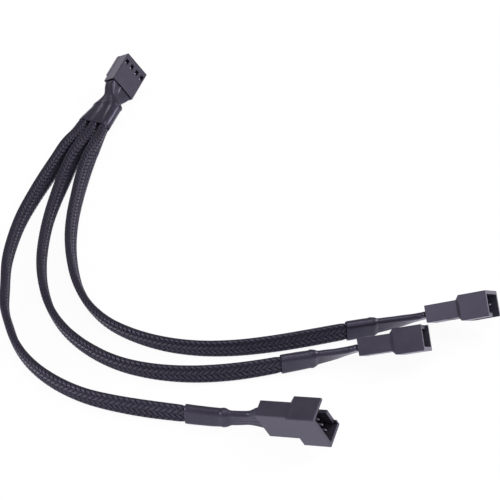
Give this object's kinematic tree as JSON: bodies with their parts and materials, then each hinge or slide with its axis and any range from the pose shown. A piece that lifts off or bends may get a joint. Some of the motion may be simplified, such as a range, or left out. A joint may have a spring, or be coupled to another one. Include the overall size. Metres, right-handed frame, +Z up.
{
  "type": "fan splitter cable",
  "caption": "Fan splitter cable: a flat female plug feeds parallel braided branches, each ending in a keyed male socket, with heat shrink at every end",
  "frame": {"origin": "on the table that the cable lies on, under the middle of the box around the plug, the sockets and the heat shrink", "axes": "+Z up from the table; +X from the plug's side towards the sockets' open ends; +Y from the sockets towards the plug"},
  "size_m": [0.1417, 0.1812, 0.0175],
  "materials": {
    "black_nylon": "satin moulded",
    "tinned_brass": "bright tin plating",
    "heat_shrink_black": "satin",
    "braid_black": "fine woven monofilament",
    "wire_black": "smooth"
  },
  "bodies": {
    "root": {"female_housing": "black_nylon", "female_contact_1": "tinned_brass", "female_contact_2": "tinned_brass", "female_contact_3": "tinned_brass", "female_contact_4": "tinned_brass", "junction_heat_shrink": "heat_shrink_black", "braid_outer": "braid_black", "wire_outer_1": "wire_black", "wire_outer_2": "wire_black", "wire_outer_3": "wire_black", "wire_outer_4": "wire_black", "heat_shrink_outer": "heat_shrink_black", "male_housing_outer": "black_nylon", "male_pin_outer_1": "tinned_brass", "male_pin_outer_2": "tinned_brass", "male_pin_outer_3": "tinned_brass", "male_pin_outer_4": "tinned_brass", "braid_middle": "braid_black", "wire_middle_1": "wire_black", "wire_middle_2": "wire_black", "wire_middle_4": "wire_black", "heat_shrink_middle": "heat_shrink_black", "male_housing_middle": "black_nylon", "male_pin_middle_1": "tinned_brass", "male_pin_middle_2": "tinned_brass", "male_pin_middle_4": "tinned_brass", "braid_inner": "braid_black", "wire_inner_1": "wire_black", "wire_inner_2": "wire_black", "wire_inner_4": "wire_black", "heat_shrink_inner": "heat_shrink_black", "male_housing_inner": "black_nylon", "male_pin_inner_1": "tinned_brass", "male_pin_inner_2": "tinned_brass", "male_pin_inner_4": "tinned_brass"}
  },
  "joints": []
}
